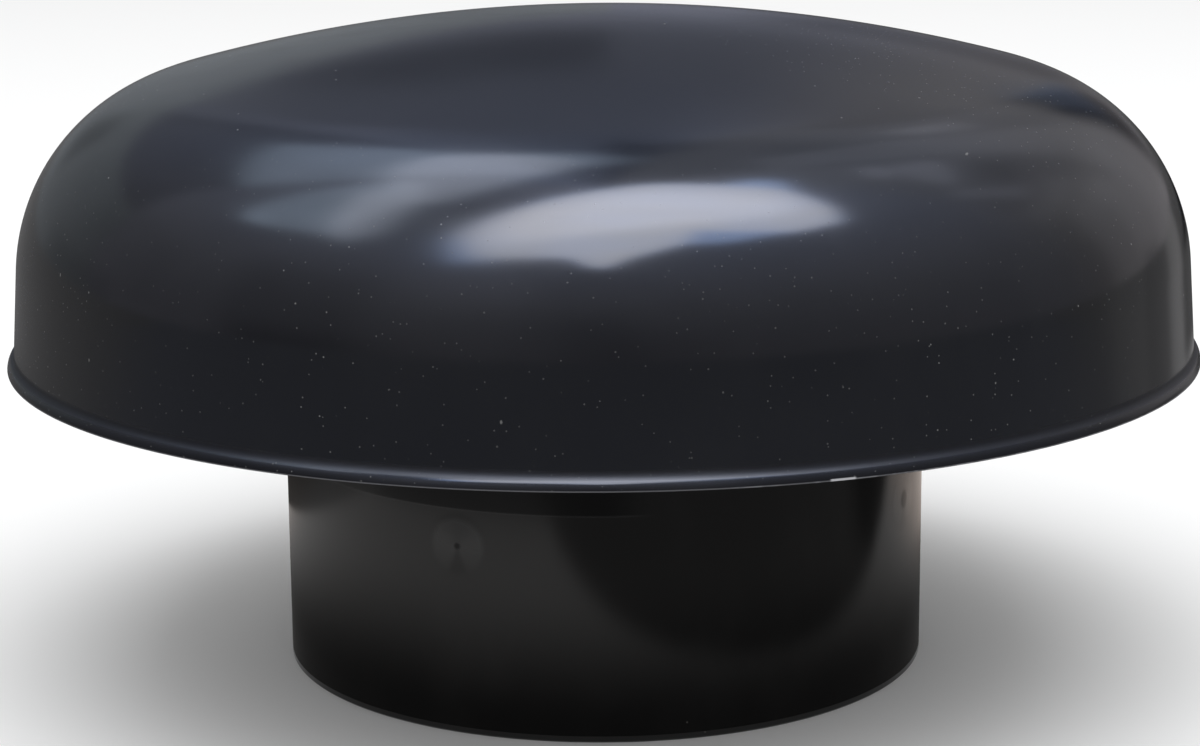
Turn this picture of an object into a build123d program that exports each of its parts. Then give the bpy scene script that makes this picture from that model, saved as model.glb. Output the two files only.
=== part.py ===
from build123d import *
import math
import os

# Spigot: the straight tube that a 150 mm duct slides over.
spigot_radius = 75.0
spigot_length = 100.0
spigot_wall = 3.0
spigot_edge_chamfer = 0.4

# Hat: one formed shell, with a drafted skirt, a knuckle and a crown that closes on the axis.
rim_height = 73.0
rim_radius = 138.0
skirt_radius = 136.6
skirt_draft = 4.1
skirt_height = 22.9
knuckle_radius = 46.2
crown_radius = 389.0
hat_wall = 2.5
lip_height = 2.6
lip_bulge = 0.36
lip_land = 2.8
crease_radius = 2.4

# Brackets: moulded channels inside the spigot that carry the hat.
bracket_width = 28.0
bracket_web = 2.5
bracket_rib = 2.5
bracket_corner_radius = 9.0
bracket_tail = 18.0
bracket_toe_depth = 6.0
foot_thickness = 3.0
foot_reach = 9.0
foot_inset = 8.5
shoulder_height = 5.0
shoulder_setback = 0.6
rib_edge_radius = 0.8
screw_pad_radius = 5.5
screw_pad_rise = 2.0

# Hat bosses: round pads glued under the crown, each with a blind hole for its screw.
boss_flange_radius = 12.0
boss_flange_thickness = 2.2
boss_barrel_radius = 5.5
boss_floor = 3.0
boss_root_radius = 1.5

# Screws: pan heads with a cross recess and a pointed end.
screw_radius = 2.1
screw_point_length = 2.0
screw_point_radius = 0.3
screw_head_radius = 4.0
screw_head_height = 2.4
screw_head_round = 1.3
recess_length = 4.4
recess_width = 0.9
recess_depth = 1.3
hat_screw_length = 10.0
tube_screw_height = 42.5
tube_screw_skin = 0.4

# Marks: the low cones that the points of the tube screws raise in the spigot's outside.
mark_radius = 5.0
mark_tip_radius = 0.6
mark_rise = 0.3

# Clearances
bracket_gap = 0.1
glue_line = 0.1
pilot_clearance = 0.05
hole_clearance = 0.2

# The stations where the brackets stand, as turns about the axis from +X towards +Y.
stations = {"right": 0.0, "back": 90.0, "left": 180.0, "front": 270.0}

# The centres of the hat's arcs, in its radial section
draft = math.radians(skirt_draft)
wall_normal = Vector(math.cos(draft), math.sin(draft))
skirt_foot = Vector(skirt_radius, rim_height)
knuckle_centre = (
    skirt_foot + Vector(-math.tan(draft), 1) * skirt_height - wall_normal * knuckle_radius
)
crown_rise = math.sqrt((crown_radius - knuckle_radius) ** 2 - knuckle_centre.X**2)
crown_centre = Vector(0, knuckle_centre.Y - crown_rise)
knuckle_end = math.atan2(crown_rise, knuckle_centre.X)

# The bracket's seats against the spigot
bore_radius = spigot_radius - spigot_wall
back_radius = bore_radius - bracket_gap
web_radius = back_radius - bracket_web
pad_radius = web_radius - screw_pad_rise
tube_screw_length = spigot_radius - tube_screw_skin - pad_radius
toe_height = tube_screw_height - bracket_tail

# The seats under the crown, which lean so that each boss stands square to it
under_crown_radius = crown_radius - hat_wall
boss_height = hat_screw_length - foot_thickness + pilot_clearance + boss_floor
boss_lean = math.asin((back_radius - foot_inset) / under_crown_radius)
boss_axis = Vector(math.sin(boss_lean), math.cos(boss_lean))
boss_top_radius = under_crown_radius - glue_line
foot_top = crown_centre + boss_axis * (boss_top_radius - boss_height)
foot_underside = foot_top - boss_axis * foot_thickness
foot_outward = Vector(boss_axis.Y, -boss_axis.X)

# Workplanes at the station on +X, with Z along each screw and its origin under the screw's head
tube_screw_plane = Plane((pad_radius, 0, tube_screw_height), x_dir=(0, 1, 0), z_dir=(1, 0, 0))
hat_screw_plane = Plane(
    (foot_underside.X, 0, foot_underside.Y), x_dir=(0, 1, 0), z_dir=(boss_axis.X, 0, boss_axis.Y)
)
boss_plane = hat_screw_plane.offset(foot_thickness)

base_up = (Align.CENTER, Align.CENTER, Align.MIN)
base_down = (Align.CENTER, Align.CENTER, Align.MAX)


def arc_point(centre, radius, angle):
    """A point of the radial section on an arc, at an angle above the horizontal."""
    return centre + Vector(math.cos(angle), math.sin(angle)) * radius


def foot_line(radius, level):
    """Where a line parallel to the bracket's foot, through a given point, crosses a radius."""
    return level + foot_outward * ((radius - level.X) / foot_outward.X)


def hat():
    """The shell's radial section, turned about the axis."""
    rim = Vector(rim_radius, rim_height)
    crease = skirt_foot + Vector(-math.tan(draft), 1) * lip_height
    inner_crease = crease - wall_normal * hat_wall
    inner_rim = rim - Vector(lip_land, 0)
    chord = (crease - rim).normalized()
    lip_middle = (rim + crease) * 0.5 + Vector(chord.Y, -chord.X) * lip_bulge
    with BuildPart() as shell:
        with BuildSketch(Plane.XZ) as section:
            with BuildLine():
                ThreePointArc(rim, lip_middle, crease)
                for wall, skirt_start in ((0.0, crease), (hat_wall, inner_crease)):
                    skirt_end = arc_point(knuckle_centre, knuckle_radius - wall, draft)
                    knuckle_middle = arc_point(
                        knuckle_centre, knuckle_radius - wall, (draft + knuckle_end) / 2
                    )
                    crown_start = arc_point(crown_centre, crown_radius - wall, knuckle_end)
                    crown_middle = arc_point(
                        crown_centre, crown_radius - wall, (knuckle_end + math.pi / 2) / 2
                    )
                    crown_top = crown_centre + Vector(0, crown_radius - wall)
                    Line(skirt_start, skirt_end)
                    ThreePointArc(skirt_end, knuckle_middle, crown_start)
                    ThreePointArc(crown_start, crown_middle, crown_top)
                Line(crown_top, crown_top + Vector(0, hat_wall))
                Line(inner_crease, inner_rim)
                Line(inner_rim, rim)
            make_face()
            crease_vertex = section.vertices().sort_by_distance((crease.X, crease.Y, 0))[0]
            fillet(crease_vertex, crease_radius)
        revolve(axis=Axis.Z)
    return shell.part


def pointed_rod(radius, length):
    """A rod along +Z that ends in a point, for a screw's shank or the hole that it cuts."""
    with BuildPart() as rod:
        straight = length - screw_point_length
        Cylinder(radius, straight, align=base_up)
        with Locations((0, 0, straight)):
            Cone(radius, screw_point_radius, screw_point_length, align=base_up)
    return rod.part


def screw(length):
    """A pan head screw, its head below the origin and its shank along +Z."""
    with BuildPart() as body:
        Cylinder(screw_head_radius, screw_head_height, align=base_down)
        crown_edge = body.edges().filter_by(GeomType.CIRCLE).sort_by(Axis.Z)[0]
        fillet(crown_edge, screw_head_round)
        with Locations((0, 0, -screw_head_height)):
            Box(recess_length, recess_width, recess_depth, align=base_up, mode=Mode.SUBTRACT)
            Box(recess_width, recess_length, recess_depth, align=base_up, mode=Mode.SUBTRACT)
        add(pointed_rod(screw_radius, length))
    return body.part


def spigot():
    """The tube, with the blind holes and the raised marks of its screws."""
    with BuildPart() as mark:
        with Locations(tube_screw_plane.offset(spigot_radius - mark_rise - pad_radius)):
            Cone(mark_radius, mark_tip_radius, 2 * mark_rise, align=base_up)
    with BuildPart() as hole:
        with Locations(tube_screw_plane):
            add(pointed_rod(screw_radius + pilot_clearance, tube_screw_length + pilot_clearance))
    with BuildPart() as tube:
        with BuildSketch():
            Circle(spigot_radius)
            Circle(bore_radius, mode=Mode.SUBTRACT)
        extrude(amount=spigot_length)
        foot_edge = tube.edges().group_by(Axis.Z)[0].sort_by(SortBy.RADIUS)[-1]
        chamfer(foot_edge, spigot_edge_chamfer)
        for turn in stations.values():
            add(mark.part.rotate(Axis.Z, turn))
            add(hole.part.rotate(Axis.Z, turn), mode=Mode.SUBTRACT)
    return tube.part


def channel_outline(inset):
    """The bracket's rounded front outline, drawn in from its edge, on the YZ plane."""
    corner = bracket_corner_radius - inset
    half = bracket_width / 2 - inset
    bottom = toe_height + inset
    with BuildSketch(Plane.YZ) as outline:
        with BuildLine():
            Polyline((half, foot_top.Y * 1.5), (-half, foot_top.Y * 1.5), (-half, bottom + corner))
            RadiusArc((-half, bottom + corner), (-half + corner, bottom), -corner)
            Line((-half + corner, bottom), (half - corner, bottom))
            RadiusArc((half - corner, bottom), (half, bottom + corner), -corner)
            Line((half, bottom + corner), (half, foot_top.Y * 1.5))
        make_face()
    return outline.sketch


def bracket():
    """The channel at the +X station: a web against the bore, two ribs, a toe and a leaning foot."""
    foot_tip = foot_top - foot_outward * foot_reach
    foot_tip_under = foot_tip - boss_axis * foot_thickness
    toe = Vector(back_radius - bracket_toe_depth, toe_height)
    heel = Vector(spigot_radius, toe_height)
    shoulder_top = spigot_length + shoulder_height
    shoulder_radius = spigot_radius - shoulder_setback
    with BuildPart() as room:
        with BuildSketch(Plane.XZ):
            with BuildLine():
                Polyline(
                    (0, 0),
                    (back_radius, 0),
                    (back_radius, spigot_length),
                    (shoulder_radius, spigot_length),
                    (shoulder_radius, shoulder_top),
                    (back_radius, shoulder_top + shoulder_radius - back_radius),
                    (back_radius, rim_height + crown_radius),
                    (0, rim_height + crown_radius),
                    close=True,
                )
            make_face()
        revolve(axis=Axis.Z)
    with BuildPart() as pocket:
        with BuildSketch(Plane.XZ):
            with BuildLine():
                Polyline(
                    foot_line(0, foot_underside),
                    foot_line(spigot_radius, foot_underside),
                    (spigot_radius, 0),
                    (0, 0),
                    close=True,
                )
            make_face()
        extrude(amount=bracket_width, both=True)
        extrude(channel_outline(bracket_rib), amount=spigot_radius, mode=Mode.INTERSECT)
        Cylinder(web_radius, 2 * crown_radius, mode=Mode.INTERSECT)
    with BuildPart() as channel:
        with BuildSketch(Plane.XZ):
            with BuildLine():
                Polyline(
                    foot_tip, foot_line(spigot_radius, foot_top), heel, toe, foot_tip_under, close=True
                )
            make_face()
        extrude(amount=bracket_width, both=True)
        extrude(channel_outline(0), amount=spigot_radius, mode=Mode.INTERSECT)
        add(room.part, mode=Mode.INTERSECT)
        rib_middle = (toe + foot_tip_under) * 0.5
        rib_face = channel.faces().sort_by_distance((rib_middle.X, 0, rib_middle.Y))[0]
        rib_edges = rib_face.edges().sort_by(Axis.Z)[:-1]
        fillet(rib_edges, rib_edge_radius)
        add(pocket.part, mode=Mode.SUBTRACT)
        with Locations(tube_screw_plane):
            Cylinder(screw_pad_radius, screw_pad_rise + bracket_web / 2, align=base_up)
            Cylinder(screw_radius + hole_clearance, 2 * bracket_width, mode=Mode.SUBTRACT)
        with Locations(hat_screw_plane):
            Cylinder(screw_radius + hole_clearance, 3 * foot_thickness, mode=Mode.SUBTRACT)
    return channel.part


def hat_boss():
    """The glued boss at the +X station, domed on top to follow the crown."""
    flange_top = math.sqrt(boss_top_radius**2 - boss_flange_radius**2) - boss_top_radius + boss_height
    flange_foot = flange_top - boss_flange_thickness
    dome_middle_radius = boss_flange_radius / 2
    dome_middle = math.sqrt(boss_top_radius**2 - dome_middle_radius**2) - boss_top_radius + boss_height
    with BuildPart() as upright:
        with BuildSketch(Plane.XZ) as section:
            with BuildLine():
                Polyline(
                    (0, boss_height),
                    (0, 0),
                    (boss_barrel_radius, 0),
                    (boss_barrel_radius, flange_foot),
                    (boss_flange_radius, flange_foot),
                    (boss_flange_radius, flange_top),
                )
                ThreePointArc(
                    (boss_flange_radius, flange_top), (dome_middle_radius, dome_middle), (0, boss_height)
                )
            make_face()
            root = section.vertices().sort_by_distance((boss_barrel_radius, flange_foot, 0))[0]
            fillet(root, boss_root_radius)
        revolve(axis=Axis.Z)
        hole_length = boss_height - boss_floor
        add(pointed_rod(screw_radius + pilot_clearance, hole_length), mode=Mode.SUBTRACT)
    return boss_plane * upright.part


def write_node(name, shape):
    export_step(shape, os.path.join("parts", name + ".step"))
    print(name, "volume", round(shape.volume, 1), "mm3")


os.makedirs("parts", exist_ok=True)
write_node("hat", hat())
write_node("spigot", spigot())
at_station = {
    "bracket": bracket(),
    "hat_boss": hat_boss(),
    "tube_screw": tube_screw_plane * screw(tube_screw_length),
    "hat_screw": hat_screw_plane * screw(hat_screw_length),
}
for place, turn in stations.items():
    for name, shape in at_station.items():
        write_node(name + "_" + place, shape.rotate(Axis.Z, turn))
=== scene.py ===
import bpy
import bmesh
import math
from mathutils import Matrix, Vector


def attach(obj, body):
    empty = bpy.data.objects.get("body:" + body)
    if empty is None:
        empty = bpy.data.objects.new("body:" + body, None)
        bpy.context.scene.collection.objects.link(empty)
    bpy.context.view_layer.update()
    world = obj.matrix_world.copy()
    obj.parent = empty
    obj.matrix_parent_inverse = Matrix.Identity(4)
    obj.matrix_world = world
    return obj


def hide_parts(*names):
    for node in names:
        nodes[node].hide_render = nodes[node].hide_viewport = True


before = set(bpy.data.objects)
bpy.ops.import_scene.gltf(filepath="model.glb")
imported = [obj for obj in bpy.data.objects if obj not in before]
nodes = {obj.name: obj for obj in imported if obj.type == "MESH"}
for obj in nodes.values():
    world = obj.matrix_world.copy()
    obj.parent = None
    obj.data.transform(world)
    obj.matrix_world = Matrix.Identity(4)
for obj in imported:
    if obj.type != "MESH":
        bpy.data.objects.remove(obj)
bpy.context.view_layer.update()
mm = 0.001
places = ("right", "back", "left", "front")  # the four stations, from +X towards +Y
print("frame loaded:", len(nodes), "nodes")


# Shader helpers

class Wire:
    # A socket's output; sums on it add Math nodes
    def __init__(self, board, socket):
        self.board = board
        self.socket = socket

    def __add__(self, other):
        return self.board.sum("ADD", self, other)

    def __radd__(self, other):
        return self.board.sum("ADD", other, self)

    def __sub__(self, other):
        return self.board.sum("SUBTRACT", self, other)

    def __rsub__(self, other):
        return self.board.sum("SUBTRACT", other, self)

    def __mul__(self, other):
        return self.board.sum("MULTIPLY", self, other)

    def __rmul__(self, other):
        return self.board.sum("MULTIPLY", other, self)

    def __truediv__(self, other):
        return self.board.sum("DIVIDE", self, other)

    def __rtruediv__(self, other):
        return self.board.sum("DIVIDE", other, self)

    def __pow__(self, other):
        return self.board.sum("POWER", self, other)

    def __gt__(self, other):
        return self.board.sum("GREATER_THAN", self, other)

    def __lt__(self, other):
        return self.board.sum("LESS_THAN", self, other)

    def ease(self, low, high):  # 0 below low, 1 above high, smooth between; low may be the larger
        settings = {"interpolation_type": "SMOOTHSTEP"}
        return self.board.put("ShaderNodeMapRange", settings, {0: self, 1: low, 2: high, 3: 0.0, 4: 1.0})

    def between(self, start, full, fade, end):  # 1 from full to fade, 0 outside start and end
        return self.ease(start, full) * self.ease(end, fade)


class Board:
    # The node tree of one material or world
    def __init__(self, owner):
        owner.use_nodes = True
        self.tree = owner.node_tree
        self.tree.nodes.clear()

    def put(self, kind, settings=None, sockets=None, out=0):
        node = self.tree.nodes.new(kind)
        for name, value in (settings or {}).items():
            if name == "stops":
                ramp = node.color_ramp.elements
                while len(ramp) < len(value):
                    ramp.new(1.0)
                for stop, (place, colour) in zip(ramp, value):
                    stop.position = place
                    stop.color = (*colour, 1.0)
            else:
                setattr(node, name, value)
        for name, value in (sockets or {}).items():
            socket = node.inputs[name]
            if isinstance(value, Wire):
                self.tree.links.new(value.socket, socket)
            else:
                socket.default_value = value
        return Wire(self, node.outputs[out]) if node.outputs else node

    def sum(self, operation, first, second=0.0):
        return self.put("ShaderNodeMath", {"operation": operation}, {0: first, 1: second})

    def greatest(self, amounts):
        whole = amounts[0]
        for amount in amounts[1:]:
            whole = self.sum("MAXIMUM", whole, amount)
        return whole

    def blend(self, factor, first, second):  # a colour between two colours
        settings = {"data_type": "RGBA"}
        return self.put("ShaderNodeMix", settings, {0: factor, 6: first, 7: second}, out=2)

    def grain(self, place, scale, detail=2.0, roughness=0.5):
        sockets = {"Vector": place, "Scale": scale, "Detail": detail, "Roughness": roughness}
        return self.put("ShaderNodeTexNoise", None, sockets)

    def stretched(self, place, stretch):
        return self.put("ShaderNodeVectorMath", {"operation": "MULTIPLY"}, {0: place, 1: stretch})

    def onSurface(self):  # the place on the object, in metres
        return self.put("ShaderNodeTexCoord", None, None, out="Object")

    def axis(self, place, out):
        return self.put("ShaderNodeSeparateXYZ", None, {0: place}, out=out)

    def turn(self, place):  # the angle about the axis, in radians; the photograph looks from -1.14
        return self.sum("ARCTAN2", self.axis(place, 1), self.axis(place, 0))

    def specks(self, place, scale, radius, share):  # small dots in a share of the cells
        cell = {"Vector": place, "Scale": scale, "Randomness": 1.0}
        near = self.put("ShaderNodeTexVoronoi", None, cell, out="Distance")
        tone = self.put("ShaderNodeTexVoronoi", None, cell, out="Color")
        chosen = self.axis(tone, 0) < share
        return near.ease(radius, radius * 0.5) * chosen

    def bump(self, strength, distance, height):
        sockets = {"Strength": strength, "Distance": distance, "Height": height}
        return self.put("ShaderNodeBump", None, sockets)

    def solid(self, colour, rough, normal, index=1.5, metallic=0.0):
        sockets = {"Base Color": colour, "Roughness": rough, "Normal": normal}
        sockets |= {"IOR": index, "Metallic": metallic}
        return self.put("ShaderNodeBsdfPrincipled", None, sockets)

    def mixed(self, factor, first, second):
        return self.put("ShaderNodeMixShader", None, {0: factor, 1: first, 2: second})

    def shine(self, strength, colour):
        return self.put("ShaderNodeEmission", None, {"Color": colour, "Strength": strength})

    def ray(self, kind):
        return self.put("ShaderNodeLightPath", None, None, out="Is " + kind + " Ray")

    def seen(self):  # 1 where the eye looks: straight, in gloss or through glass
        return self.ray("Camera") + self.ray("Glossy") + self.ray("Transmission")

    def finish(self, surface):
        self.put("ShaderNodeOutputMaterial", None, {"Surface": surface})


def grey(level):
    return (level, level, level, 1.0)


# Materials

def hatPlastic():
    material = bpy.data.materials.new("hatPlastic")
    look = {
        "black": (0.0022, 0.0026, 0.0040, 1.0),
        "scuffed": (0.010, 0.0105, 0.012, 1.0),
        "dust": (0.25, 0.25, 0.24, 1.0),
        "trimmed": (0.16, 0.16, 0.17, 1.0),
        "torn": (0.42, 0.42, 0.44, 1.0),
        "gloss": 0.136,
        "index": 1.70,
        "lipIndex": 1.36,
        # Noise: scale, detail and roughness
        "cloud": (14.0, 3.0),
        "smear": (30.0, 4.0, 0.6),
        "patchy": (9.0, 2.0),
        "raggedness": (350.0, 2.0),
        "ripple": (55.0, 2.0),
        "fineRipple": (900.0, 2.0),
        "rippleHeight": 0.4 * mm,
        # Dust: cells in a metre, radius in a cell, share of the cells
        "coarseDust": (260.0, 0.070, 0.11),
        "middleDust": (430.0, 0.095, 0.55),
        "fineDust": (640.0, 0.13, 0.34),
        "lint": (230.0, 0.07, 0.06),
        # Heights on the lip
        "rim": 73.0 * mm,
        "trim": 0.30 * mm,
        "chipTop": 0.50 * mm,
        "crease": (1.6 * mm, 2.3 * mm, 3.2 * mm, 4.4 * mm),
        "lipTop": 4.2 * mm,
        # Angles about the axis
        "cleanSide": (-1.55, -1.40, -0.75, -0.60),
        "raggedSide": (-0.98, -0.90, 0.0, 0.20),
        "highlightSide": (-1.75, -1.50, -1.02, -0.84),
        "chip": (-0.813, -0.809, -0.775, -0.771),
    }
    board = Board(material)
    place = board.onSurface()
    overRim = board.axis(place, 2) - look["rim"]
    turn = board.turn(place)
    cloud = board.grain(place, *look["cloud"])
    smear = board.grain(board.stretched(place, (1.0, 2.5, 1.0)), *look["smear"])
    haze = (cloud * 0.6 + smear * 0.4).ease(0.42, 0.68)
    patchy = board.grain(place, *look["patchy"]).ease(0.40, 0.60)
    dots = board.specks(place, *look["coarseDust"]) + board.specks(place, *look["middleDust"]) * patchy
    dots = dots + board.specks(place, *look["fineDust"]) * (0.3 + patchy * 0.5)
    dots = dots * (1.0 - turn.between(*look["cleanSide"]) * 0.6)
    lint = board.specks(board.stretched(place, (1.0, 0.35, 0.6)), *look["lint"]) * 0.7
    dots = board.sum("MINIMUM", dots + lint, 1.0)
    trim = overRim.ease(look["trim"], look["trim"] * 0.6)
    ragged = board.grain(place, *look["raggedness"]).ease(0.46, 0.56) * turn.between(*look["raggedSide"])
    chip = turn.between(*look["chip"]) * overRim.ease(look["chipTop"], look["chipTop"] * 0.7)
    colour = board.blend(haze * 0.25, look["black"], look["scuffed"])
    colour = board.blend(dots * 0.6, colour, look["dust"])
    colour = board.blend(trim * (0.5 + ragged * 0.4), colour, look["trimmed"])
    colour = board.blend(chip, colour, look["torn"])
    crease = overRim.between(*look["crease"])
    rough = look["gloss"] + haze * 0.05 + dots * 0.3 + trim * 0.25 + crease * 0.30
    ripple = board.grain(place, *look["ripple"]) + board.grain(place, *look["fineRipple"]) * 0.05
    normal = board.bump(0.06, look["rippleHeight"], ripple)
    # The lip is made darker and duller than the skirt, a painted shade, but for a stretch in front that keeps
    # its gloss to show the highlight there, a painted highlight
    highlightStretch = turn.between(*look["highlightSide"]) * 0.75
    dullLip = overRim.ease(look["lipTop"], look["lipTop"] - 1.2 * mm) * (1.0 - highlightStretch)
    glossy = board.solid(colour, rough, normal, look["index"])
    dull = board.solid(colour, rough + 0.05, normal, look["lipIndex"])
    board.finish(board.mixed(dullLip * 0.65, glossy, dull))
    return material


def spigotPlastic():
    material = bpy.data.materials.new("spigotPlastic")
    look = {
        "black": (0.0025, 0.0025, 0.0025, 1.0),
        "rubbed": (0.012, 0.0115, 0.011, 1.0),
        # A paler grey: the painted reflection round the screws' points, and a thin lighter line
        "paleGrey": (0.030, 0.030, 0.030, 1.0),
        "dust": (0.2, 0.19, 0.18, 1.0),
        "gloss": 0.13,
        "index": 1.55,
        "dullGloss": 0.22,
        "dullIndex": 1.28,
        "specks": (300.0, 0.08, 0.03),
        # Noise: scale, detail and roughness
        "drawn": (420.0, 2.0),
        "rub": (45.0, 4.0, 0.6),
        "drawnHeight": 0.1 * mm,
        "mark": 42.5 * mm,
        "markRadius": 7.0 * mm,
        "pointRadius": 1.1 * mm,
        "darkStreakRadius": 2.8 * mm,
        "darkStreakFrom": 0.06,  # only the mark at the right lies beyond this X
        # The height of a thin lighter line, with a painted shade band above it
        "paleLineHeight": 50.8 * mm,
        "lineHalf": 0.3 * mm,
        "lineSide": (-0.96, -1.10),
        "bandHalf": 0.2 * mm,
        "bandSide": (-2.15, -1.75, -1.15, -0.98),
    }
    board = Board(material)
    place = board.onSurface()
    turn = board.turn(place)
    height = board.axis(place, 2)
    sides = [board.sum("ABSOLUTE", board.axis(place, out)) for out in (0, 1)]
    aside = board.sum("MINIMUM", *sides)  # how far to the side of the nearest mark
    below = look["mark"] - height
    fromMark = (aside * aside + below * below) ** 0.5
    drawn = board.grain(board.stretched(place, (1.0, 1.0, 0.04)), *look["drawn"])  # lines along the tube
    rub = board.grain(board.stretched(place, (1.0, 1.0, 0.5)), *look["rub"]).ease(0.5, 0.75)
    dots = board.specks(place, *look["specks"])
    # Round each screw's point a paler disc is painted: a painted reflection of the low cone there. A wedge
    # under the point stays dark: a painted dark reflection of the cone's lower side.
    wedge = (aside - below * 0.40).ease(0.7 * mm, -0.9 * mm) * below.ease(0.0, 0.8 * mm)
    disc = fromMark.ease(look["markRadius"], look["markRadius"] * 0.76)
    paintedConeSheen = disc * (1.0 - wedge * 0.8) * below.ease(8.0 * mm, -2.0 * mm) * (0.55 + rub * 0.25)
    point = fromMark.ease(look["pointRadius"], 0.3 * mm) * 0.75
    # At the mark on the right a tall dark streak is painted: the cone's dark lower side seen from the side, a
    # painted dark reflection
    darkStreak = (aside * aside * 1.3 + below * below) ** 0.5
    darkStreak = darkStreak.ease(look["darkStreakRadius"], 1.5 * mm) * (board.axis(place, 0) > look["darkStreakFrom"])
    # At this height a thin lighter line is drawn, and above it on one side the wall is made duller: painted
    # shade under the hat's rim
    line = (height - look["paleLineHeight"]) * (1 / look["lineHalf"])
    line = (line * line).ease(1.0, 0.3) * turn.ease(*look["lineSide"])
    band = height.ease(look["paleLineHeight"] - look["bandHalf"], look["paleLineHeight"] + look["bandHalf"])
    band = band * turn.between(*look["bandSide"]) * 0.75
    colour = board.blend(rub * 0.25, look["black"], look["rubbed"])
    colour = board.blend(paintedConeSheen, colour, look["paleGrey"])
    colour = board.blend(line * 0.35, colour, look["paleGrey"])
    colour = board.blend(dots * 0.5, colour, look["dust"])
    rough = look["gloss"] + rub * 0.06 + dots * 0.2
    normal = board.bump(0.05, look["drawnHeight"], drawn)
    glossy = board.solid(colour, rough, normal, look["index"])
    dull = board.solid(look["black"], look["dullGloss"], normal, look["dullIndex"])
    # The dull copy darkens each screw's point, and paints shade: the dark streak, the wedge under each point
    # and the band above the line
    pointAndShade = board.greatest([point, darkStreak * 0.85, wedge * disc * 0.15 + band])
    board.finish(board.mixed(pointAndShade, glossy, dull))
    return material


def mouldedPlastic(name, tone, gloss):
    material = bpy.data.materials.new(name)
    look = {
        "cloud": (60.0, 3.0),
        "pits": (2200.0, 2.0),
        "pitHeight": 0.05 * mm,
        "dark": grey(tone * 0.8),
        "pale": grey(tone * 1.25),
    }
    board = Board(material)
    place = board.onSurface()
    cloud = board.grain(place, *look["cloud"])
    colour = board.blend(cloud, look["dark"], look["pale"])
    normal = board.bump(0.25, look["pitHeight"], board.grain(place, *look["pits"]))
    board.finish(board.solid(colour, gloss + cloud * 0.1, normal))
    return material


def screwSteel():
    material = bpy.data.materials.new("screwSteel")
    look = {
        "turned": (700.0, 3.0),
        "turnedHeight": 0.03 * mm,
        "dark": grey(0.48),
        "bright": grey(0.66),
        "gloss": 0.24,
    }
    board = Board(material)
    turned = board.grain(board.onSurface(), *look["turned"])
    colour = board.blend(turned, look["dark"], look["bright"])
    normal = board.bump(0.15, look["turnedHeight"], turned)
    board.finish(board.solid(colour, look["gloss"] + turned * 0.14, normal, metallic=1.0))
    return material


finishes = {
    "hat": hatPlastic(),
    "spigot": spigotPlastic(),
    "bracket": mouldedPlastic("bracketPlastic", 0.016, 0.42),
    "boss": mouldedPlastic("bossPlastic", 0.020, 0.50),
    "screw": screwSteel(),
}
print("materials made:", len(finishes))


# Meshes

def placed(name, data):
    thing = bpy.data.objects.new(name, data)
    bpy.context.scene.collection.objects.link(thing)
    return thing


def arcPoints(centre, radius, start, end, steps):
    points = []
    for step in range(steps + 1):
        angle = start + (end - start) * step / steps
        points.append((centre[0] + radius * math.cos(angle), centre[1] + radius * math.sin(angle)))
    return points


def linePoints(start, end, steps):  # the points between the two ends
    points = []
    for step in range(1, steps):
        share = step / steps
        points.append((start[0] + (end[0] - start[0]) * share, start[1] + (end[1] - start[1]) * share))
    return points


def spun(name, outline, segments, shift=None):
    # Turns a closed outline of (radius, height) in millimetres about the axis; points on the axis close it
    mesh = bpy.data.meshes.new(name)
    form = bmesh.new()
    rings = []
    for radius, height in outline:
        if radius < 1e-6:
            rings.append([form.verts.new((0, 0, height * mm))])
            continue
        ring = []
        for number in range(segments):
            angle = 2 * math.pi * number / segments
            r, z = shift(radius, height, angle) if shift else (radius, height)
            ring.append(form.verts.new((r * mm * math.cos(angle), r * mm * math.sin(angle), z * mm)))
        rings.append(ring)
    for first, second in zip(rings, rings[1:] + rings[:1]):
        if len(first) == 1 and len(second) == 1:
            continue
        for number in range(segments):
            after = (number + 1) % segments
            if len(first) == 1:
                form.faces.new((first[0], second[after], second[number]))
            elif len(second) == 1:
                form.faces.new((first[number], first[after], second[0]))
            else:
                form.faces.new((first[number], first[after], second[after], second[number]))
    bmesh.ops.recalc_face_normals(form, faces=form.faces)
    form.to_mesh(mesh)
    form.free()
    for face in mesh.polygons:
        face.use_smooth = True
    return placed(name, mesh)


def markSharp(piece, degrees):
    form = bmesh.new()
    form.from_mesh(piece.data)
    for edge in form.edges:
        if len(edge.link_faces) == 2 and edge.calc_face_angle(0.0) > math.radians(degrees):
            edge.smooth = False
    form.to_mesh(piece.data)
    form.free()


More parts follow.
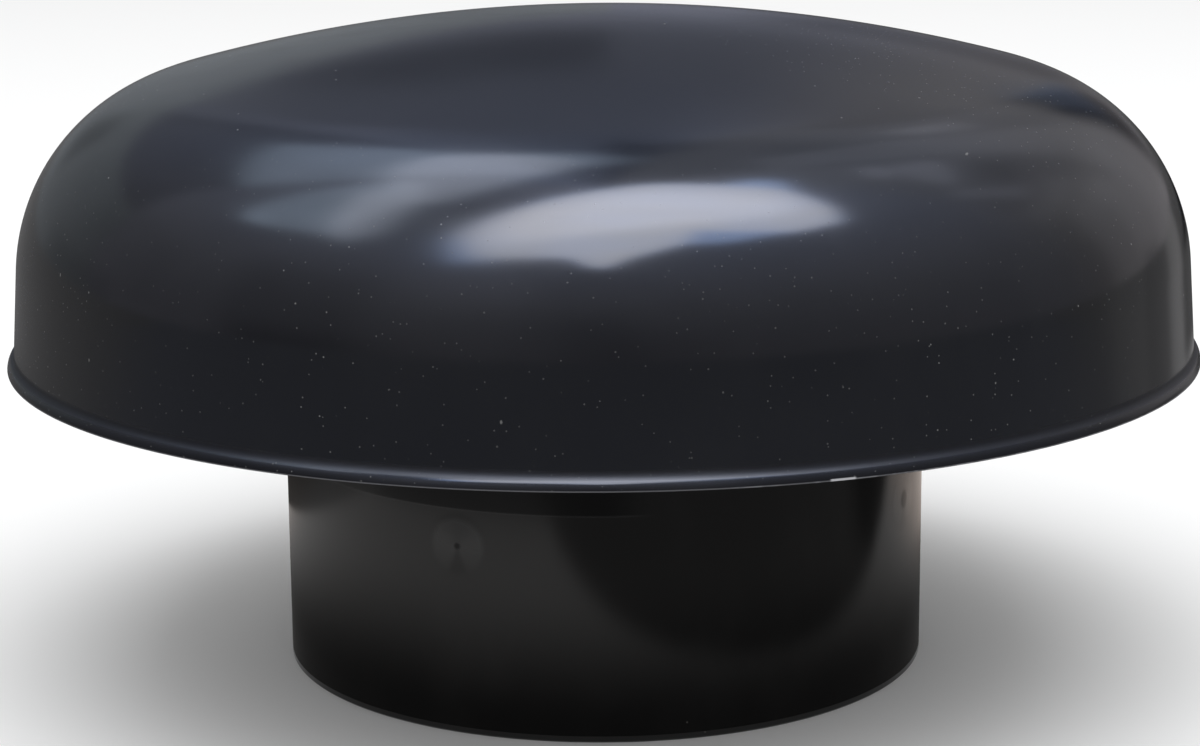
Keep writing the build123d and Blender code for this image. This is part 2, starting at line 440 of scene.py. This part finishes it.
def makeHat():
    # Millimetres; draft leans the skirt inwards as it rises
    size = {
        "rimHeight": 73.0,
        "rimRadius": 138.0,
        "skirtRadius": 136.6,
        "skirtDraft": math.radians(4.1),
        "skirtHeight": 22.9,
        "knuckleRadius": 46.2,
        "crownRadius": 389.0,
        "wall": 2.5,
        "lipHeight": 2.6,
        "lipBulge": 0.36,
        "lipLand": 2.8,
        "creaseRadius": 2.4,
        "segments": 384,
        # Steps along each stretch of the outline, outside and inside
        "lipSteps": 14,
        "creaseSteps": 10,
        "skirtSteps": 18,
        "knuckleSteps": 44,
        "crownSteps": 46,
        "innerCrownSteps": 24,
        "innerKnuckleSteps": 22,
        "innerSkirtSteps": 6,
    }
    draft = size["skirtDraft"]
    wallNormal = Vector((math.cos(draft), math.sin(draft)))
    upWall = Vector((-math.tan(draft), 1.0))
    foot = Vector((size["skirtRadius"], size["rimHeight"]))
    knuckle = foot + upWall * size["skirtHeight"] - wallNormal * size["knuckleRadius"]
    rise = math.sqrt((size["crownRadius"] - size["knuckleRadius"]) ** 2 - knuckle.x**2)
    crown = Vector((0.0, knuckle.y - rise))
    turn = math.atan2(rise, knuckle.x)
    rim = Vector((size["rimRadius"], size["rimHeight"]))
    crease = foot + upWall * size["lipHeight"]
    chord = crease - rim
    lipRadius = ((chord.length / 2) ** 2 + size["lipBulge"] ** 2) / (2 * size["lipBulge"])
    away = Vector((chord.y, -chord.x)).normalized()
    lipCentre = (rim + crease) / 2 - away * (lipRadius - size["lipBulge"])
    lipStart = math.atan2(rim.y - lipCentre.y, rim.x - lipCentre.x)
    # The hollow that leads from the skirt into the lip touches both
    offset = (foot - lipCentre).dot(wallNormal) + size["creaseRadius"]
    lipEnd = draft + math.acos(offset / (lipRadius + size["creaseRadius"]))
    hollow = lipCentre + Vector((math.cos(lipEnd), math.sin(lipEnd))) * (lipRadius + size["creaseRadius"])
    innerCrease = crease - wallNormal * size["wall"]
    innerRim = rim - Vector((size["lipLand"], 0.0))

    # Up the outside to the axis, and down the inside
    outline = arcPoints(lipCentre, lipRadius, lipStart, lipEnd, size["lipSteps"])
    lead = arcPoints(hollow, size["creaseRadius"], lipEnd + math.pi, draft + math.pi, size["creaseSteps"])
    outline += lead[1:]
    skirtStart = hollow - wallNormal * size["creaseRadius"]
    skirtEnd = knuckle + wallNormal * size["knuckleRadius"]
    outline += linePoints(skirtStart, skirtEnd, size["skirtSteps"])
    outline += arcPoints(knuckle, size["knuckleRadius"], draft, turn, size["knuckleSteps"])
    outline += arcPoints(crown, size["crownRadius"], turn, math.pi / 2, size["crownSteps"])[1:-1]
    outline.append((0.0, crown.y + size["crownRadius"]))
    inside = size["knuckleRadius"] - size["wall"]
    under = size["crownRadius"] - size["wall"]
    outline.append((0.0, crown.y + under))
    outline += arcPoints(crown, under, math.pi / 2, turn, size["innerCrownSteps"])[1:]
    outline += arcPoints(knuckle, inside, turn, draft, size["innerKnuckleSteps"])[1:]
    outline += linePoints(knuckle + wallNormal * inside, innerCrease, size["innerSkirtSteps"])
    outline += [tuple(innerCrease), tuple(innerRim)]

    piece = spun("hatShell", outline, size["segments"])
    markSharp(piece, 30)
    piece.data.materials.append(finishes["hat"])
    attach(piece, "root")
    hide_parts("hat")
    return piece


def makeSpigot():
    # Millimetres; the band is the stretch of wall with close rings, above and below the marks' height
    size = {
        "radius": 75.0,
        "length": 100.0,
        "wall": 3.0,
        "chamfer": 0.4,
        "markHeight": 42.5,
        "markRadius": 7.5,
        "markRise": 0.14,
        "band": 9.0,
        "segments": 720,
        # Steps of the wall below, in and above the band, and of the bore
        "lowSteps": 12,
        "bandSteps": 30,
        "highSteps": 14,
        "boreSteps": 5,
    }
    radius, length = size["radius"], size["length"]
    low, high = size["markHeight"] - size["band"], size["markHeight"] + size["band"]

    def raised(ringRadius, height, angle):
        # The low cones that the screws' points push out of the wall
        if ringRadius < radius - 0.01 or not low < height < high:
            return ringRadius, height
        out = 0.0
        for number in range(len(places)):
            turned = (angle - number * math.pi / 2 + math.pi) % (2 * math.pi) - math.pi
            reach = math.hypot(turned * radius, height - size["markHeight"]) / size["markRadius"]
            if reach < 1:
                out = size["markRise"] * (1 - reach) ** 1.4
        return ringRadius + out, height

    bore = radius - size["wall"]
    outline = [(radius - size["chamfer"], 0.0), (radius, size["chamfer"])]
    outline += linePoints((radius, size["chamfer"]), (radius, low), size["lowSteps"])
    rise = (high - low) / size["bandSteps"]
    outline += [(radius, low + rise * step) for step in range(size["bandSteps"] + 1)]
    outline += linePoints((radius, high), (radius, length), size["highSteps"])
    outline += [(radius, length), (bore, length)]
    outline += linePoints((bore, length), (bore, 0.0), size["boreSteps"])
    outline += [(bore, 0.0)]

    piece = spun("spigotTube", outline, size["segments"], raised)
    markSharp(piece, 30)
    piece.data.materials.append(finishes["spigot"])
    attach(piece, "root")
    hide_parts("spigot")
    return piece


def dressInside():
    # The brackets, bosses and screws stay as the CAD made them
    dress = {"bracket": "bracket", "hat_boss": "boss", "tube_screw": "screw", "hat_screw": "screw"}
    for place in places:
        for name, finish in dress.items():
            materials = nodes[name + "_" + place].data.materials
            materials.clear()
            materials.append(finishes[finish])


makeHat()
makeSpigot()
dressInside()
print("pieces made")


# Camera

viewTurn = Matrix.Rotation(math.radians(24.9), 3, "Z")  # the photograph looks between two stations


def makeCamera():
    shot = {
        "place": (2.84, -681.7, 219.1),
        "yaw": -0.00553,
        "pitch": 0.22208,
        "roll": -0.00747,
        "lens": 88.76,
        "sensor": 36.0,
    }
    data = bpy.data.cameras.new("camera")
    data.lens = shot["lens"]
    data.sensor_width = shot["sensor"]
    data.clip_start = 0.01
    camera = placed("camera", data)
    yaw, pitch, roll = shot["yaw"], shot["pitch"], shot["roll"]
    ahead = Vector((math.sin(yaw) * math.cos(pitch), math.cos(yaw) * math.cos(pitch), -math.sin(pitch)))
    right = Vector((math.cos(yaw), -math.sin(yaw), 0.0))
    up = right.cross(ahead)
    across = right * math.cos(roll) + up * math.sin(roll)
    upright = up * math.cos(roll) - right * math.sin(roll)
    turned = Matrix((across, upright, -ahead)).transposed()
    spot = viewTurn @ (Vector(shot["place"]) * mm)
    camera.matrix_world = Matrix.LocRotScale(spot, viewTurn @ turned, None)
    bpy.context.scene.camera = camera


makeCamera()


# Studio

def stagePaint(name, build):
    material = bpy.data.materials.new(name)
    board = Board(material)
    board.finish(build(board))
    return material


def disc(name, sides, reach, height=0.0):
    data = bpy.data.meshes.new(name)
    form = bmesh.new()
    bmesh.ops.create_circle(form, cap_ends=True, segments=sides, radius=reach)
    bmesh.ops.translate(form, verts=form.verts, vec=(0, 0, height))
    form.to_mesh(data)
    form.free()
    return placed(name, data)


def makeFloor():
    # Paler to the eye than to the light, so that it throws no more light on the cap
    look = {"reach": 8.0, "sides": 96, "toLight": grey(0.78), "toEye": grey(0.96)}
    floor = disc("floor", look["sides"], look["reach"])

    def paint(board):
        colour = board.blend(board.seen(), look["toLight"], look["toEye"])
        matt = board.put("ShaderNodeBsdfDiffuse", None, {"Color": colour})
        # A camera below it looks through it, to the underside of the cap
        clear = board.put("ShaderNodeBsdfTransparent")
        below = board.put("ShaderNodeNewGeometry", None, None, out="Backfacing") * board.ray("Camera")
        return board.mixed(below, matt, clear)

    floor.data.materials.append(stagePaint("floorPaint", paint))


def makeOverheadLamp():
    # One broad soft lamp; what the gloss shows of the studio is painted on its walls instead
    look = {"side": 2.6, "radiance": 1.7, "place": (0.1, -0.5, 2.4), "colour": (0.99, 1.0, 1.01)}
    data = bpy.data.lights.new("lampOverhead", "AREA")
    data.shape = "SQUARE"
    data.size = look["side"]
    data.energy = look["radiance"] * math.pi * data.size**2
    data.color = look["colour"]
    lamp = placed("lampOverhead", data)
    lamp.matrix_world = Matrix.LocRotScale(viewTurn @ Vector(look["place"]), viewTurn, None)
    lamp.visible_camera = False
    lamp.visible_glossy = False


def makeWorld():
    look = {"toLight": grey(0.75), "toEye": grey(1.0)}
    world = bpy.data.worlds.new("studio")
    bpy.context.scene.world = world
    board = Board(world)
    colour = board.blend(board.seen(), look["toLight"], look["toEye"])
    light = board.put("ShaderNodeBackground", None, {"Color": colour, "Strength": 1.0})
    board.put("ShaderNodeOutputWorld", None, {"Surface": light})


def showOnlyInGloss(card, paintwork):
    paintwork.cycles.emission_sampling = "NONE"
    card.data.materials.append(paintwork)
    card.matrix_world = viewTurn.to_4x4()
    card.visible_camera = False
    card.visible_diffuse = False
    card.visible_shadow = False
    card.visible_transmission = False


def makeWalls():
    # The studio as the gloss shows it; azimuth 0 is towards the camera, and 90 is to the right
    look = {
        "reach": 20.0,
        "around": 64,
        "upwards": 48,
        # The wall's colour over its elevation, from -10 to 90 degrees
        "rises": [
            (0.00, (0.20, 0.20, 0.225)),
            (0.15, (0.225, 0.225, 0.26)),
            (0.25, (0.26, 0.265, 0.31)),
            (0.35, (0.32, 0.33, 0.39)),
            (0.45, (0.40, 0.42, 0.52)),
            (0.55, (0.47, 0.51, 0.66)),
            (0.70, (0.60, 0.67, 0.90)),
            (1.00, (0.90, 1.00, 1.33)),
        ],
        # Darker and paler places: azimuths, elevations and softness in degrees, and by how much
        "shades": [
            (155, 164, 3, 22, 3, 0.60),
            (152, 158, -3, 20, 2, 0.30),
            (166, 176, 0, 9, 2, 0.40),
            (162, 168, 27, 41, 2, 0.18),
            (-186, -168, 15, 27, 3, 0.18),
            (133, 137, 18, 23, 1.5, 0.28),
            (104, 116, 33, 44, 3, 0.20),
            (0, 20, -20, 14, 5, 0.08),
            (-76, -46, -20, 34, 5, 0.20),
            (-8, 8, -20, 22, 6, 0.20),
            (-72, -34, -20, 8, 5, 0.15),
            (-135, -105, -20, 6, 5, 0.26),
            (146, 154, 4, 24, 3, 0.20),
            (-72, -42, -20, 4, 4, 0.12),
            (118, 131, 37, 46, 3, 0.28),
            (125, 133, -8, 2, 1.5, 0.45),
            (145, 152, -8, -2, 1.5, 0.7),
            (-128, -92, 2, 27, 6, 0.12),
            (136, 200, 50, 95, 7, 0.30),
            (-100, -15, 52, 78, 7, 0.45),
        ],
        "glows": [
            (112, 153, -20, 24, 4, 0.64),
            (136, 150, 24, 66, 2, 0.30),
            (104, 125, 26, 33, 3, 0.25),
            (152, 158, 35, 43, 1.5, 0.50),
            (124, 132, 4, 30, 2, 0.16),
            (114, 126, 22, 31, 2, 0.15),
            (169, 176, 34, 55, 3, 0.18),
            (-175, -158, -2, 18, 3, 0.15),
            (-171, -160, 36, 60, 3, 0.14),
            (166, 172, -6, -1, 1.5, 2.2),
            (-40, -14, 24, 44, 8, 0.22),
        ],
        "leftBehind": [(-159, -116, -20, 49, 3, 0.38)],  # dark, but for the screen in front of it
        "smudges": [(-158, -150, 6, 16, 3, 0.7), (-162, -157, 2, 9, 3, 0.3)],  # on the screen
        "blueCorner": [(156, 165, 9, 19, 2.5, 1.0)],
        "behind": 0.47,
        "screenSide": -115.0,
        "screenTop": 25.0,
        "screenFall": 13.0,
        "warmSide": (92, 112, 166, 174),
        "plainTint": (1.0, 1.0, 1.0, 1.0),
        "coolTint": (0.95, 1.0, 1.08, 1.0),
        "warmTint": (1.04, 1.0, 0.91, 1.0),
        "screenTint": (0.96, 1.03, 0.96, 1.0),
        "blueTint": (0.86, 1.02, 1.24, 1.0),
        # The openings overhead, told on a ceiling of height 1: corners to the right and towards the camera,
        # going round from left to far to right, then softness and amount
        "near": [
            (
                [(-0.47, 0.77), (-0.41, 0.42), (-0.20, 0.17), (0.02, -0.04), (0.11, -0.09),
                 (0.26, 0.40), (0.26, 0.58), (0.10, 0.80), (-0.12, 0.79)],
                0.03, 1.0,
            ),
            (
                [(-0.10, 0.30), (0.02, -0.04), (0.10, -0.09), (0.35, -0.07),
                 (0.57, 0.09), (0.67, 0.24), (0.57, 0.39), (0.30, 0.44)],
                0.03, 1.0,
            ),
            ([(-0.15, 0.72), (0.16, 0.68), (0.02, 0.95), (-0.04, 0.95)], 0.03, 1.0),
        ],
        "core": [
            (
                [(-0.36, 0.60), (-0.30, 0.33), (0.06, -0.01), (0.44, 0.05), (0.46, 0.22), (0.09, 0.44)],
                0.08, 1.0,
            ),
        ],
        "blueEnds": [
            ([(0.22, -0.05), (0.27, -0.16), (0.34, -0.15), (0.42, 0.0)], 0.03, 1.0),
            ([(0.24, 0.38), (0.56, 0.38), (0.38, 0.57), (0.24, 0.59)], 0.04, 1.0),
            ([(-0.58, 0.82), (-0.46, 0.46), (-0.36, 0.40), (-0.36, 0.78)], 0.05, 1.0),
        ],
        "far": [
            (
                [(-0.88, 0.40), (-0.86, 0.28), (-0.52, -0.10), (-0.20, -0.20), (-0.43, 0.12), (-0.63, 0.34)],
                0.04, 1.0,
            ),
            (
                [(-0.48, 0.08), (-0.41, -0.28), (-0.28, -0.50), (-0.13, -0.54),
                 (-0.03, -0.38), (-0.05, -0.25), (-0.18, -0.08), (-0.32, 0.07)],
                0.05, 1.0,
            ),
        ],
        "pale": [
            (
                [(-1.10, 0.02), (-1.13, -0.10), (-1.00, -0.17), (-0.34, -0.19), (-0.38, 0.02), (-0.84, 0.32)],
                0.03, 1.0,
            ),
            (
                [(-0.88, -0.40), (-0.76, -0.62), (-0.54, -0.87),
                 (-0.12, -0.48), (-0.10, -0.22), (-0.50, -0.24)],
                0.05, 0.65,
            ),
            ([(-0.18, -0.44), (-0.06, -0.56), (0.06, -0.40), (0.00, -0.30)], 0.05, 0.6),
        ],
        "glints": [
            ([(0.54, -0.36), (0.62, -0.56), (0.72, -0.54), (0.88, -0.34), (0.74, -0.30)], 0.05, 0.7),
            ([(0.47, -0.36), (0.52, -0.40), (0.61, -0.28), (0.54, -0.26)], 0.03, 1.0),
            ([(0.86, -0.28), (1.22, -0.62), (1.38, -0.56), (0.95, -0.22)], 0.06, 0.6),
        ],
        "nearLevel": 4.2,
        "coreLevel": 1.6,
        "blueLevel": 2.4,
        "farLevel": 1.55,
        "paleLevel": 0.95,
        "glintLevel": 0.5,
        "white": (1.0, 1.02, 1.12, 1.0),
        "clouded": (0.93, 1.0, 1.22, 1.0),
        "nearEdge": (0.65, 0.95, 1.65, 1.0),
        "coreColour": (1.0, 1.0, 1.12, 1.0),
        "blueColour": (0.66, 0.94, 1.60, 1.0),
        "farColour": (0.93, 1.02, 1.22, 1.0),
        "paleColour": (0.80, 1.02, 1.30, 1.0),
        "glintColour": (0.95, 1.0, 1.25, 1.0),
    }
    data = bpy.data.meshes.new("studioWalls")
    form = bmesh.new()
    sphere = {"u_segments": look["around"], "v_segments": look["upwards"], "radius": look["reach"]}
    bmesh.ops.create_uvsphere(form, **sphere)
    form.to_mesh(data)
    form.free()
    for face in data.polygons:
        face.use_smooth = True
    walls = placed("studioWalls", data)

    def paint(board):
        place = board.onSurface()
        toRight, back, up = (board.axis(place, out) for out in range(3))
        degrees = 180 / math.pi
        azimuth = board.sum("ARCTAN2", toRight, 0.0 - back) * degrees
        rise = board.sum("ARCSINE", up / look["reach"]) * degrees

        def patches(spots):
            whole = 0.0
            for left, right, low, high, soft, amount in spots:
                across = azimuth.between(left - soft, left + soft, right - soft, right + soft)
                upwards = rise.between(low - soft, low + soft, high - soft, high + soft)
                whole = across * upwards * amount + whole
            return whole

        # A grey-green screen behind on the left, whose top edge falls away to the back
        sidle = (look["screenSide"] - azimuth) / 60.0
        screenTop = look["screenTop"] - sidle * sidle * sidle * sidle * look["screenFall"]
        screen = azimuth.ease(look["screenSide"] + 2, look["screenSide"] - 2)
        screen = screen * (screenTop - rise).ease(-0.9, 0.9)
        behind = azimuth.ease(164, 176) + azimuth.ease(-150, -172)
        behind = behind * rise.ease(5, 18) * (1.0 - rise.ease(30, 55) * 0.25) * look["behind"]
        shade = patches(look["shades"]) + (behind + patches(look["leftBehind"])) * (1.0 - screen)
        shade = shade + screen * patches(look["smudges"]) * 0.5
        streaks = board.grain(board.stretched(place, (0.4, 0.4, 0.05)), 1.0, 3.0, 0.6) - 0.5
        cool = azimuth.ease(168, 178) + azimuth.ease(-112, -150) * (1.0 - screen)
        tint = board.blend(cool, look["plainTint"], look["coolTint"])
        tint = board.blend(azimuth.between(*look["warmSide"]), tint, look["warmTint"])
        tint = board.blend(screen, tint, look["screenTint"])
        tint = board.blend(patches(look["blueCorner"]), tint, look["blueTint"])
        wall = board.put("ShaderNodeValToRGB", {"stops": look["rises"]}, {0: rise / 100.0 + 0.1})
        tinted = {"data_type": "RGBA", "blend_type": "MULTIPLY"}
        wall = board.put("ShaderNodeMix", tinted, {0: 1.0, 6: wall, 7: tint}, out=2)
        dim = board.shine((1.0 - shade + patches(look["glows"])) * (1.0 + streaks * 0.25), wall)

        height = board.sum("MAXIMUM", up, 0.3)
        ahead = (0.0 - back) / height
        ceiling = board.put("ShaderNodeCombineXYZ", None, {0: toRight / height, 1: ahead, 2: 1.0})

        def pane(corners, soft, amount):
            inside = amount
            for (x0, y0), (x1, y1) in zip(corners, corners[1:] + corners[:1]):
                length = math.hypot(x1 - x0, y1 - y0)
                across, along = (y0 - y1) / length, (x1 - x0) / length
                side = (across, along, -(across * x0 + along * y0))
                dot = {"operation": "DOT_PRODUCT"}
                depth = board.put("ShaderNodeVectorMath", dot, {0: ceiling, 1: side}, out=1)
                inside = depth.ease(-soft, soft) * inside
            return inside

        def panes(shapes):
            return board.greatest([pane(*shape) for shape in shapes])

        cloud = board.grain(ceiling, 4.0, 3.0, 0.6).ease(0.35, 0.68)
        fine = (board.grain(board.stretched(ceiling, (1.2, 16.0, 1.0)), 2.0, 3.0, 0.6) - 0.5) * 0.9
        near = panes(look["near"])
        far = panes(look["far"])
        white = board.blend(cloud, look["clouded"], look["white"])
        nearColour = board.blend(near.ease(0.2, 0.9), look["nearEdge"], white)
        farColour = board.blend(far, look["paleColour"], look["farColour"])
        farLevel = far * look["farLevel"] + panes(look["pale"]) * (look["paleLevel"] + cloud * 0.35)
        ends = panes(look["blueEnds"]) * (1.0 - near)
        lights = [
            board.shine(near * (look["nearLevel"] + fine), nearColour),
            board.shine(panes(look["core"]) * (look["coreLevel"] + fine), look["coreColour"]),
            board.shine(ends * look["blueLevel"], look["blueColour"]),
            board.shine(farLevel, farColour),
            board.shine(panes(look["glints"]) * look["glintLevel"], look["glintColour"]),
        ]
        whole = dim
        for light in lights:
            whole = board.put("ShaderNodeAddShader", None, {0: whole, 1: light})
        return whole

    showOnlyInGloss(walls, stagePaint("wallPaint", paint))


def makeTable():
    # A dim table top that only the gloss shows: it ends along a line in front on the right
    look = {
        "top": 0.0015,
        "reach": 19.0,
        "sides": 64,
        "edge": 0.119,
        "edgeTurn": math.radians(45.0),
        "lit": 0.39,
        "litRight": 0.08,
        "litReach": (0.46, 0.36),
        "ring": 0.247,  # how far from the axis the light behind the cap ends
        "bare": 0.13,
        "distance": (0.30, 0.50),
        "distantBare": 0.035,
        "shadow": (0.082, 0.198),  # the cap's own shade on the table
        "plain": (1.0, 0.98, 0.97, 1.0),
        "cold": (0.93, 0.97, 1.13, 1.0),
        "tanned": (1.14, 0.99, 0.90, 1.0),
        # Pale and dark strips fan out from a point, far away behind on the right: angles, and by how much
        "fan": (0.118, -0.058),
        "strips": [(136, 139, 147, 149, 0.15), (104, 112, 122, 125, 0.05), (148, 151, 165, 169, -0.07)],
    }
    table = disc("tableTop", look["sides"], look["reach"], look["top"])

    def paint(board):
        place = board.onSurface()
        toRight, back = board.axis(place, 0), board.axis(place, 1)
        away = board.put("ShaderNodeVectorMath", {"operation": "LENGTH"}, {0: place}, out=1)
        past = toRight * math.sin(look["edgeTurn"]) - back * math.cos(look["edgeTurn"])
        onTable = past.ease(look["edge"] + 0.010, look["edge"] - 0.010)
        # Behind the cap the light ends nearer to it on the left, and never on the right
        ring = look["ring"] - board.sum("MAXIMUM", back + 0.05, 0.0) * 0.55
        beyond = (away - ring).ease(-0.006, 0.006) * toRight.ease(0.06, -0.02)
        lit = look["lit"] - beyond * 0.27 - back.ease(0.02, 0.15) * toRight.ease(0.0, -0.05) * 0.12
        distant = away.ease(*look["distance"])
        close = (1.0 - distant) * 0.09
        bare = look["bare"] + distant * look["distantBare"]
        bare = bare - toRight.ease(0.10, 0.20) * back.ease(-0.05, 0.0) * close
        bare = bare - beyond * back.ease(-0.06, 0.10) * close
        bare = bare - toRight.between(0.15, 0.25, 0.45, 0.6) * back.ease(0.6, 0.8) * 0.11
        ahead = look["fan"][1] - back
        around = board.sum("ARCTAN2", toRight - look["fan"][0], ahead) * (180 / math.pi)
        for start, full, fade, end, amount in look["strips"]:
            bare = bare + around.between(start, full, fade, end) * distant * amount
        right = toRight.ease(0.02, 0.08) * back.ease(0.02, 0.10)
        profile = 0.10 + away.ease(*look["shadow"]) * 0.90
        profile = profile * (1.0 - right * away.ease(0.150, 0.115) * 0.4)
        level = profile * (bare + onTable * (lit + right * look["litRight"]) * away.ease(*look["litReach"]))
        tanned = (right + toRight.ease(-0.06, -0.12) * back.ease(0.05, 0.12) * 0.5) * away.ease(0.36, 0.26)
        cold = away.ease(0.26, 0.42) * (1.0 - back.ease(-0.15, 0.20) * 0.85)
        tone = board.blend(cold, look["plain"], look["cold"])
        tone = board.blend(tanned, tone, look["tanned"])
        return board.shine(level, tone)

    showOnlyInGloss(table, stagePaint("tablePaint", paint))


makeFloor()
makeOverheadLamp()
makeWorld()
makeWalls()
makeTable()
bpy.context.scene.view_settings.view_transform = "Standard"
print("studio made")
